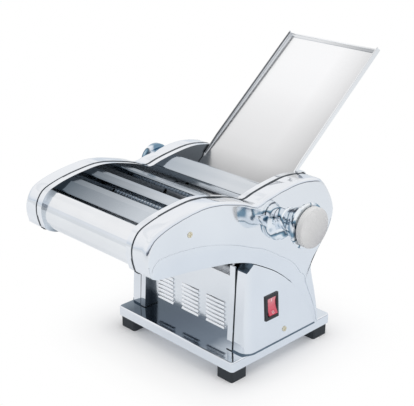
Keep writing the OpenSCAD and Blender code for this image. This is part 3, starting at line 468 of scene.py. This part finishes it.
def crease_bead(name, node, sign, radius):
    """A fine raised line along the crease of a cover, where its side face turns under."""
    bead = copy_of(node, name)
    bpy.ops.mesh.select_mode(type="EDGE")
    bpy.ops.mesh.select_all(action="DESELECT")
    bpy.ops.object.mode_set(mode="OBJECT")
    mesh = bead.data
    slack = 0.0002
    normals_at = {}
    for face in mesh.polygons:
        for key in face.edge_keys:
            normals_at.setdefault(key, []).append(face.normal)
    for edge in mesh.edges:
        out = [(mesh.vertices[v].co.x - middle_x) * sign for v in edge.vertices]
        normals = normals_at[edge.key]
        turned_under = any(0.5 < n.x * sign < 0.995 and n.z < -0.05 for n in normals)
        flat = any(n.x * sign > 0.998 for n in normals)
        edge.select = min(out) > cover_face - slack and turned_under and flat
    bpy.ops.object.mode_set(mode="EDIT")
    bpy.ops.mesh.select_all(action="INVERT")
    bpy.ops.mesh.delete(type="EDGE_FACE")
    bpy.ops.object.mode_set(mode="OBJECT")
    bpy.ops.object.convert(target="CURVE")
    line = bpy.context.object
    line.data.bevel_depth = radius
    line.data.bevel_resolution = 2
    bpy.ops.object.convert(target="MESH")
    bpy.ops.object.shade_smooth_by_angle(angle=math.radians(60))
    return bpy.context.object


def resize_all(scale, centre):
    """Stretches the whole of the picked piece from a centre."""
    bpy.ops.object.mode_set(mode="EDIT")
    bpy.ops.mesh.select_all(action="SELECT")
    bpy.ops.transform.resize(value=scale, center_override=centre)
    bpy.ops.object.mode_set(mode="OBJECT")


def seam_strip(name, node, inner, outer, proud, spread=1.0, axis=0, material=gasket_black):
    """A dark strip round a casting, between two places along X, or along Z where the axis is 2."""
    across = tuple(float(i == axis) for i in range(3))
    low, high = sorted((inner, outer))
    strip = copy_of(node, name)
    bpy.ops.mesh.bisect(plane_co=[low * i for i in across], plane_no=across, clear_inner=True)
    bpy.ops.mesh.select_all(action="SELECT")
    bpy.ops.mesh.bisect(plane_co=[high * i for i in across], plane_no=across, clear_outer=True)
    bpy.ops.mesh.select_all(action="DESELECT")
    bpy.ops.object.mode_set(mode="OBJECT")
    # Only the casting's walls stay, and of these only the outer ring, which reaches foremost.
    for face in strip.data.polygons:
        face.select = abs(face.normal[axis]) > 0.7
    bpy.ops.object.mode_set(mode="EDIT")
    bpy.ops.mesh.delete(type="FACE")
    bpy.ops.mesh.select_mode(type="VERT")
    bpy.ops.mesh.select_all(action="DESELECT")
    bpy.ops.object.mode_set(mode="OBJECT")
    min(strip.data.vertices, key=lambda v: v.co.y).select = True
    bpy.ops.object.mode_set(mode="EDIT")
    bpy.ops.mesh.select_linked()
    bpy.ops.mesh.select_all(action="INVERT")
    bpy.ops.mesh.delete(type="VERT")
    bpy.ops.object.mode_set(mode="OBJECT")
    thick = strip.modifiers.new("thick", "SOLIDIFY")
    thick.thickness = proud
    thick.offset = 1
    bpy.ops.object.modifier_apply(modifier="thick")
    # No strip stands out past the castings' noses.
    front = min(v.co.y for v in strip.data.vertices)
    rear = max(v.co.y for v in strip.data.vertices)
    if front < foremost_y:
        resize_all((1, (rear - foremost_y) / (rear - front), 1), (0, rear, 0))
    if spread != 1.0:
        resize_all((spread, 1, 1), ((inner + outer) / 2, 0, 0))
    bpy.ops.object.shade_smooth_by_angle(angle=math.radians(40))
    finish(strip, material, "rubber_black")
    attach(strip, "stand")


for side, sign in sides:
    crease = crease_bead(f"{side}_cover_crease", f"{side}_upper_cover", sign, 0.0004)
    finish(crease, crease_chrome, "chrome_shell")
    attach(crease, "stand")
    seam_strip(f"{side}_cover_gasket", f"{side}_upper_cover",
               middle_x + sign * (frame_outside + 0.0001), middle_x + sign * (cover_inside - 0.0001),
               proud=0.0018, spread=2.4)
    seam_strip(f"{side}_housing_gasket", f"{side}_lower_housing",
               middle_x + sign * (frame_outside + 0.0007), middle_x + sign * (frame_outside + 0.0018),
               proud=0.0003)
    # Thin dark strips of painted contact shade along the feet of the housings and frames.
    seam_strip(f"{side}_lower_housing_contact_shade_line", f"{side}_lower_housing", base_top, base_top + 0.0022,
               proud=0.0004, axis=2, material=under_cover_painted_shade)
    seam_strip(f"{side}_side_frame_contact_shade_line", f"{side}_side_frame", base_top, base_top + 0.0010,
               proud=0.0004, axis=2)

# ---------------------------------------------------------------- Rollers, shafts and steel gears
# Ground steel rollers and shafts with cut steel gears, held by tie rods between the side frames. The
# spring steel scrapers, the screws and the inlet's pins have the same brushed grey.
satin = Finish("satin_steel")
lines = satin.clouds(0.0012, 3.0, 0.7, satin.stretched(0.04, 1, 1))
broad = satin.clouds(0.06, 1.0, 0.5)
satin_steel = satin.shade(
    colour=satin.between(lines, (0.62, 0.63, 0.65), (0.76, 0.77, 0.79)), metal=1.0,
    rough=0.26 + lines * 0.14, normal=satin.raised(lines + broad * 2.0, 0.0002, 0.2))
dress(satin_steel, "rear_roller_core", "front_roller_core", "rear_roller_gear", "front_roller_gear",
      "drive_gear", "motor_pinion", "output_shaft", "right_knob_shaft", "left_knob_shaft", "idler_pins",
      "idler_strap", "tie_rods", "roller_scrapers", "motor_screws", "inlet_pins")

# ---------------------------------------------------------------- Cutter rollers
# Two pairs of ringed steel rollers that cut the sheet of dough into wide or narrow strips, turned
# from one bar each, with their rings in each other's grooves. They run dry and dull, and their dark
# slate colour is painted shade, for their place deep inside the head.
cutter_painted_shade = mottled("cutter_painted_shade", 0.02, 2.0, 0.5, (0.46, 0.52, 0.58), (0.62, 0.68, 0.74), 0.3, 0.12)
dress(cutter_painted_shade, "wide_cutter_front", "wide_cutter_rear", "narrow_cutter_front", "narrow_cutter_rear")

# ---------------------------------------------------------------- Bronze gears and bushes
# Sintered bronze, oiled: the idler gears on their pins, the gears pressed on the cutters' ends, the
# bushes in the side frames and the two sliding blocks that carry the front roller.
gear_bronze = mottled("gear_bronze", 0.004, 3.0, 0.6, (0.50, 0.38, 0.18), (0.66, 0.52, 0.28), 0.3, 0.2)
dress(gear_bronze, "first_idler_gear", "second_idler_gear", "third_idler_gear", "wide_front_gear",
      "wide_rear_gears", "narrow_front_gears", "narrow_rear_gears", "rear_roller_bushes", "cutter_bushes",
      "knob_bushes", "bearing_blocks")

# ---------------------------------------------------------------- Deck, back panel, guard and rear shell
# Sheets of polished stainless steel, cut, folded and held between the side frames. Their grinding
# lines run from side to side.
sheet = Finish("polished_sheet")
waves = sheet.clouds(0.03, 1.0, 0.4)
lines = sheet.clouds(0.002, 2.0, 0.6, sheet.stretched(0.05, 1, 1))
polished_sheet = sheet.shade(
    colour=sheet.between(waves, (0.84, 0.85, 0.86), (0.91, 0.92, 0.93)), metal=1.0,
    rough=0.12 + lines * 0.08, normal=sheet.raised(waves, 0.0006, 0.12))
dress(polished_sheet, "back_panel", "deck_plate", "front_guard", "rear_shell")


# ---------------------------------------------------------------- Slats
# Three strips of the same sheet with down-turned flanges, over the cutters. Two slots between them
# let the dough in. Their left ends carry a painted reflection of the dark inner wall of the frame.
def shaded_sheet(name, dark_until, light_from, dark, light, lean=0.0):
    """Polished sheet with a painted reflection of the frame's dark inner wall, darker towards the left."""
    metal = Finish(name)
    spot = metal.axes()
    wander = metal.clouds(0.02, 2.0, 0.5)
    along = spot["X"] + spot["Z"] * lean + wander * 0.012
    share = (along - dark_until).maths("DIVIDE", light_from - dark_until, clamp=True)
    half_way = [(d + e) / 2 for d, e in zip(dark, light)]
    waves = metal.clouds(0.03, 1.0, 0.4)
    return metal.shade(
        colour=metal.ramp(share, (0.0, dark), (0.55, half_way), (1.0, light)), metal=1.0,
        rough=0.12 + wander * 0.06, normal=metal.raised(waves, 0.0006, 0.1))


slat_painted_reflection = shaded_sheet("slat_painted_reflection", -0.095, 0.045, (0.09, 0.12, 0.15), (0.60, 0.64, 0.68))
dress(slat_painted_reflection, "front_slat", "middle_slat", "rear_slat")

# ---------------------------------------------------------------- Vent panel
# The wall in front of the motor, a sheet of stainless steel with three columns of seven slots. It is
# held between the lower housings, and a rounded hood is pressed out over each slot.
# Painted reflection: the panel is dark at its left end and pale to the right.
vent_painted_reflection = shaded_sheet("vent_painted_reflection", -0.098, -0.070, (0.07, 0.10, 0.13), (0.86, 0.88, 0.90), 0.12)
dress(vent_painted_reflection, "vent_panel")
# The hoods get a paler copy of the sheet, a painted highlight.
hood_painted_highlight = mottled("vent_hood_painted_highlight", 0.002, 2.0, 0.5, (0.93, 0.94, 0.96), (0.95, 0.96, 0.97), 0.24, 0.04)
vent_face_y = -0.0528
hood_width, hood_depth, hood_height = 0.0300, 0.0023, 0.0037
hood_root_y = 0.0002
columns = ((-0.0669, 0.0300), (-0.02015, 0.0315), (0.0261, 0.0330))
lowest_row, row_pitch, rows = 0.0482, 0.0058, 7

# One hood: the upper front quarter of a lying cylinder, flattened and rounded along its edges.
bpy.ops.object.select_all(action="DESELECT")
bpy.ops.mesh.primitive_cylinder_add(vertices=24, radius=1, depth=1, location=(0, 0, 0),
                                    rotation=(0, math.radians(90), 0))
pattern = bpy.context.object
bpy.ops.object.transform_apply(location=True, rotation=True, scale=True)
resize_all((hood_width, hood_depth, hood_height), (0, 0, 0))
bpy.ops.object.mode_set(mode="EDIT")
bpy.ops.mesh.select_all(action="SELECT")
bpy.ops.mesh.bisect(plane_co=(0, 0, 0), plane_no=(0, 0, 1), clear_inner=True, use_fill=True)
bpy.ops.mesh.select_all(action="SELECT")
bpy.ops.mesh.bisect(plane_co=(0, hood_root_y, 0), plane_no=(0, 1, 0), clear_outer=True, use_fill=True)
bpy.ops.object.mode_set(mode="OBJECT")
ease_edges(pattern, 0.0012, 3, 60)
bpy.ops.object.shade_smooth_by_angle(angle=math.radians(50))
hood_mesh = pattern.data
bpy.data.objects.remove(pattern)
for column, (middle, width) in enumerate(columns):
    for row in range(rows):
        hood = bpy.data.objects.new(f"vent_hood_{column}_{row}", hood_mesh.copy())
        bpy.context.scene.collection.objects.link(hood)
        place = Matrix.Translation((middle, vent_face_y, lowest_row + row_pitch * row))
        hood.data.transform(place @ Matrix.Diagonal((width / hood_width, 1, 1, 1)))
        finish(hood, hood_painted_highlight, "bright_sheet")
        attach(hood, "stand")

# ---------------------------------------------------------------- Guide plate
# Curved sheet of the same steel over the front roller, which curls down to the nip and leads the
# dough in. It is held between the side frames.
# Painted reflection: the plate is darker towards the left.
guide_painted_reflection = shaded_sheet("guide_painted_reflection", -0.10, 0.02, (0.42, 0.47, 0.52), (0.68, 0.71, 0.74))
dress(guide_painted_reflection, "guide_plate")

# ---------------------------------------------------------------- Feed tray
# One folded sheet of satin stainless steel that hooks on behind the rollers. Its two sides are turned
# up, the turned-up edges are rolled over to a bead, and the top edge is folded back into a flat hem.
tray_slope = math.radians(38.9)
tray_foot_y, tray_foot_z = 0.0177, 0.1979
tray_length = 0.262
tray_left, tray_right = -0.0976, 0.0558


def on_tray(along, above):
    """A point of the tray, so far up its slope and so far above its lower face, as Y and Z."""
    return (tray_foot_y + along * math.cos(tray_slope) - above * math.sin(tray_slope),
            tray_foot_z + along * math.sin(tray_slope) + above * math.cos(tray_slope))


# Painted shade: the sheet is dark near the rollers and along its right edge, and grows pale up its slope.
tray = Finish("tray_sheet")
spot = tray.axes()
behind_foot, over_foot = spot["Y"] - tray_foot_y, spot["Z"] - tray_foot_z
up_slope = behind_foot * math.cos(tray_slope) + over_foot * math.sin(tray_slope)
up_share = (up_slope + tray.clouds(0.05, 1.0, 0.4) * 0.01) / tray_length
tone = tray.ramp(
    up_share, (0.10, 0.46), (0.24, 0.74), (0.34, 0.81), (0.57, 0.91), (0.68, 0.965), (0.84, 0.99))
darker = tray.ramp(
    spot["X"] / tray_right, (0.0, 1), (0.32, 0.94), (0.62, 0.87), (0.90, 0.77), (1.0, 0.70))
lines = tray.clouds(0.0012, 2.0, 0.6, tray.stretched(0.03, 1, 1))
tray_sheet = tray.shade(
    colour=tray.between(1.0, tone, darker, "MULTIPLY"), metal=1.0, rough=0.22 + lines * 0.04)
tray_skin = skin_of("feed_tray", "tray", 0.0003)
finish(tray_skin, tray_sheet, "satin_steel")

# The turned-up sides, the left one darker with painted shade and the right one paler.
turned_up = Finish("tray_side_painted_shade")
lines = turned_up.clouds(0.03, 2.0, 0.4)
shaded_side = turned_up.between(lines, (0.66, 0.67, 0.69), (0.74, 0.75, 0.77))
bright_side = turned_up.between(lines, (0.88, 0.89, 0.90), (0.94, 0.95, 0.96))
tray_side_painted_shade = turned_up.shade(
    colour=turned_up.between(turned_up.axes()["X"] > 0.0, shaded_side, bright_side), metal=1.0,
    rough=0.10 + lines * 0.03)
face_with(tray_skin, tray_side_painted_shade, lambda at, normal: abs(normal.x) > 0.9)

# Painted shade: the rolled edge of the left side is dark, and the flat folds grow darker towards the right.
rolled_edge_painted_shade = mottled("rolled_edge_painted_shade", 0.02, 2.0, 0.4, (0.10, 0.105, 0.11), (0.20, 0.21, 0.22), 0.14, 0.05)
folded = Finish("folded_edge_painted_shade")
lines = folded.clouds(0.02, 2.0, 0.4)
to_right = (folded.axes()["X"] + lines * 0.01 - tray_left) / (tray_right - tray_left)
folded_edge_painted_shade = folded.shade(
    colour=folded.ramp(to_right, (0.0, (0.86, 0.87, 0.88)), (0.4, (0.78, 0.79, 0.80)),
                       (0.95, (0.48, 0.49, 0.50))),
    metal=1.0, rough=0.14 + lines * 0.05)


def tray_rod(name, x, low, high, radius, material):
    """A rounded rod along the tray's side, between two points given as for on_tray."""
    foot, head = Vector((x, *on_tray(*low))), Vector((x, *on_tray(*high)))
    bpy.ops.object.select_all(action="DESELECT")
    bpy.ops.mesh.primitive_cylinder_add(
        vertices=16, radius=radius, depth=(head - foot).length, location=(foot + head) / 2,
        rotation=(head - foot).to_track_quat("Z", "Y").to_euler())
    rod = bpy.context.object
    rod.name = name
    bpy.ops.object.transform_apply(location=True, rotation=True, scale=True)
    ease_edges(rod, radius * 0.45, 2, 60)
    bpy.ops.object.shade_smooth_by_angle(angle=math.radians(50))
    finish(rod, material, "satin_steel")
    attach(rod, "tray")


# A bead runs along each side's edge, steeper at its foot, and a fold along the side's root.
bead_radius, bead_lap = 0.0012, 0.0005
bead_foot, bead_bend, bead_head = (0.041, 0.0027), (0.070, 0.0048), (0.2600, 0.0068)
fold_radius, fold_inset = 0.0007, 0.0016
fold_foot, fold_head = (0.040, 0.0014), (0.2600, 0.0014)
bead_finishes = {"left": rolled_edge_painted_shade, "right": tray_side_painted_shade}
for side, edge, inward in (("left", tray_left, 1), ("right", tray_right, -1)):
    bead_x = edge + inward * bead_radius
    bead_end = (bead_bend[0] + bead_lap, bead_bend[1])
    tray_rod(f"tray_{side}_bead", bead_x, bead_bend, bead_head, bead_radius, bead_finishes[side])
    tray_rod(f"tray_{side}_bead_foot", bead_x, bead_foot, bead_end, bead_radius, bead_finishes[side])
    fold_x = edge + inward * fold_inset
    tray_rod(f"tray_{side}_fold", fold_x, fold_foot, fold_head, fold_radius, folded_edge_painted_shade)

# The hem is a flat bar with eased edges, which lies on the sheet along its top edge.
hem_inset, hem_width, hem_height = 0.0013, 0.0042, 0.0009
hem_along, hem_above = 0.2585, 0.0016
bpy.ops.object.select_all(action="DESELECT")
bpy.ops.mesh.primitive_cube_add(size=1, location=(0, 0, 0))
hem = bpy.context.object
hem.name = "tray_top_hem"
hem.dimensions = (tray_right - tray_left - 2 * hem_inset, hem_width, hem_height)
hem.rotation_euler = (tray_slope, 0, 0)
hem.location = ((tray_left + tray_right) / 2, *on_tray(hem_along, hem_above))
bpy.ops.object.transform_apply(location=True, rotation=True, scale=True)
ease_edges(hem, 0.0003, 3)
bpy.ops.object.shade_smooth_by_angle(angle=math.radians(40))
finish(hem, folded_edge_painted_shade, "satin_steel")
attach(hem, "tray")

# ---------------------------------------------------------------- Cover screws
# Small cross-head screws of yellow-plated steel. One holds each cover to its side frame, and one
# holds each housing.
screw_plate = mottled("screw_plate", 0.003, 2.0, 0.5, (0.70, 0.62, 0.42), (0.88, 0.84, 0.72), 0.18, 0.15)
dress(screw_plate, "cover_screws")

# ---------------------------------------------------------------- Switch and inlet
# A red rocker in a black moulded bezel that clips into the right housing, with a white bar for on
# and a white ring for off. The inlet at the back is the same black plastic.
switch_black = mottled("switch_black", 0.0008, 2.0, 0.6, (0.01, 0.01, 0.012), (0.02, 0.02, 0.024),
                       0.25, 0.15, metal=0.0)
dress(switch_black, "switch_bezel", "power_inlet")

rocker_foot_z, rocker_height = 0.074, 0.022
# The red is painted paler towards the rocker's top, a painted highlight.
red = Finish("rocker_red")
grain = red.clouds(0.002, 2.0, 0.6)
painted_highlight_up = (red.axes()["Z"] - rocker_foot_z + grain * 0.004) / rocker_height
rocker_red = red.shade(
    colour=red.ramp(painted_highlight_up, (0.0, (0.66, 0.07, 0.12)), (0.55, (0.74, 0.12, 0.17)),
                    (1.0, (0.80, 0.26, 0.30))),
    rough=0.2 + grain * 0.1, coat=0.3)
dress(rocker_red, "switch_rocker")

mark_white = mottled("mark_white", 0.0006, 2.0, 0.6, (0.86, 0.80, 0.80), (0.93, 0.90, 0.90),
                     0.35, 0.1, metal=0.0)
rocker_middle_y = -0.0168
upper_half_lean, lower_half_lean = math.radians(7.2), math.radians(61.4)
bar_thick, bar_width, bar_length = 0.0004, 0.0010, 0.0042
ring_radius, ring_line = 0.0016, 0.0003
bpy.ops.object.select_all(action="DESELECT")
bpy.ops.mesh.primitive_cube_add(size=1, location=(0, 0, 0))
on_mark = bpy.context.object
on_mark.name = "rocker_on_mark"
on_mark.dimensions = (bar_thick, bar_width, bar_length)
on_mark.rotation_euler = (0, upper_half_lean, 0)
on_mark.location = (0.0875, rocker_middle_y, 0.0927)
bpy.ops.object.transform_apply(location=True, rotation=True, scale=True)
ease_edges(on_mark, 0.0001, 2)
bpy.ops.object.select_all(action="DESELECT")
bpy.ops.mesh.primitive_torus_add(
    major_radius=ring_radius, minor_radius=ring_line, major_segments=32, minor_segments=8,
    location=(0.09055, rocker_middle_y, 0.07695), rotation=(0, lower_half_lean, 0))
off_mark = bpy.context.object
off_mark.name = "rocker_off_mark"
bpy.ops.object.transform_apply(location=True, rotation=True, scale=True)
for mark in (on_mark, off_mark):
    pick(mark)
    bpy.ops.object.shade_smooth_by_angle(angle=math.radians(40))
    finish(mark, mark_white, "grey_plastic")
    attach(mark, "rocker")

# ---------------------------------------------------------------- Thickness knobs
# Both knobs are turned from bar and chromed, with a collar, a narrow waist and a flared grip, and
# are pinned to the shafts that shift the front roller.
# The dark blue and white bands round the knobs are a painted reflection.
turned = Finish("knob_painted_reflection")
painted_reflection_bands = turned.clouds(0.026, 1.0, 0.4, turned.stretched(1.5, 1, 1))
knob_chrome_painted_reflection = turned.shade(
    colour=turned.ramp(
        painted_reflection_bands, (0.36, (0.20, 0.32, 0.42)), (0.42, (0.84, 0.88, 0.92)), (0.485, (0.93, 0.95, 0.97)),
        (0.515, (0.04, 0.09, 0.14)), (0.55, (0.24, 0.38, 0.48)), (0.59, (0.90, 0.93, 0.95))),
    metal=1.0, rough=0.05 + painted_reflection_bands * 0.05)
dress(knob_chrome_painted_reflection, "right_knob", "left_knob")

# ---------------------------------------------------------------- Knob cap
# Disc of light grey plastic with a rounded rim and a faint crown, moulded, and pressed into the end
# of the right knob.
cap_middle_y, cap_middle_z = -0.0098, 0.2049
cap_foot_x, cap_face_x, cap_radius = 0.1361, 0.1461, 0.0252
crown = 0.0008
crown_steps = ((0.005, 0.0004), (0.006, 0.0002), (0.007, 0.00015))
rim_x = cap_face_x - crown
bpy.ops.object.select_all(action="DESELECT")
bpy.ops.mesh.primitive_cylinder_add(
    vertices=96, radius=cap_radius, depth=rim_x - cap_foot_x,
    location=((cap_foot_x + rim_x) / 2, cap_middle_y, cap_middle_z), rotation=(0, math.radians(90), 0))
cap = bpy.context.object
cap.name = "knob_cap_disc"
bpy.ops.object.transform_apply(location=True, rotation=True, scale=True)
for face in cap.data.polygons:
    face.select = face.normal.x > 0.9
for step_in, step_out in crown_steps:
    bpy.ops.object.mode_set(mode="EDIT")
    bpy.ops.mesh.select_mode(type="FACE")
    bpy.ops.mesh.inset(thickness=step_in, depth=0)
    bpy.ops.transform.translate(value=(step_out, 0, 0))
    bpy.ops.object.mode_set(mode="OBJECT")
ease_edges(cap, 0.0022, 5, 50)
bpy.ops.object.shade_smooth_by_angle(angle=math.radians(35))

# The grey carries painted shade: lighter up and to the left, darker down and to the right.
grey = Finish("cap_painted_shade")
grain = grey.clouds(0.0006, 2.0, 0.6)
drift = grey.clouds(0.03, 1.0, 0.5)
spot = grey.axes()
shade_from, shade_width = 0.175, 0.06
up_left = (spot["Z"] - spot["Y"] * 0.8 - shade_from + drift * 0.006) / shade_width
cap_painted_shade = grey.shade(
    colour=grey.ramp(up_left, (0.0, (0.42, 0.42, 0.43)), (0.35, (0.56, 0.56, 0.57)),
                     (0.7, 0.64), (1.0, 0.70)),
    rough=0.42 + grain * 0.08, normal=grey.raised(grain, 0.0001, 0.12))
finish(cap, cap_painted_shade, "grey_plastic")
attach(cap, "thickness_knob")
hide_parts("knob_cap")
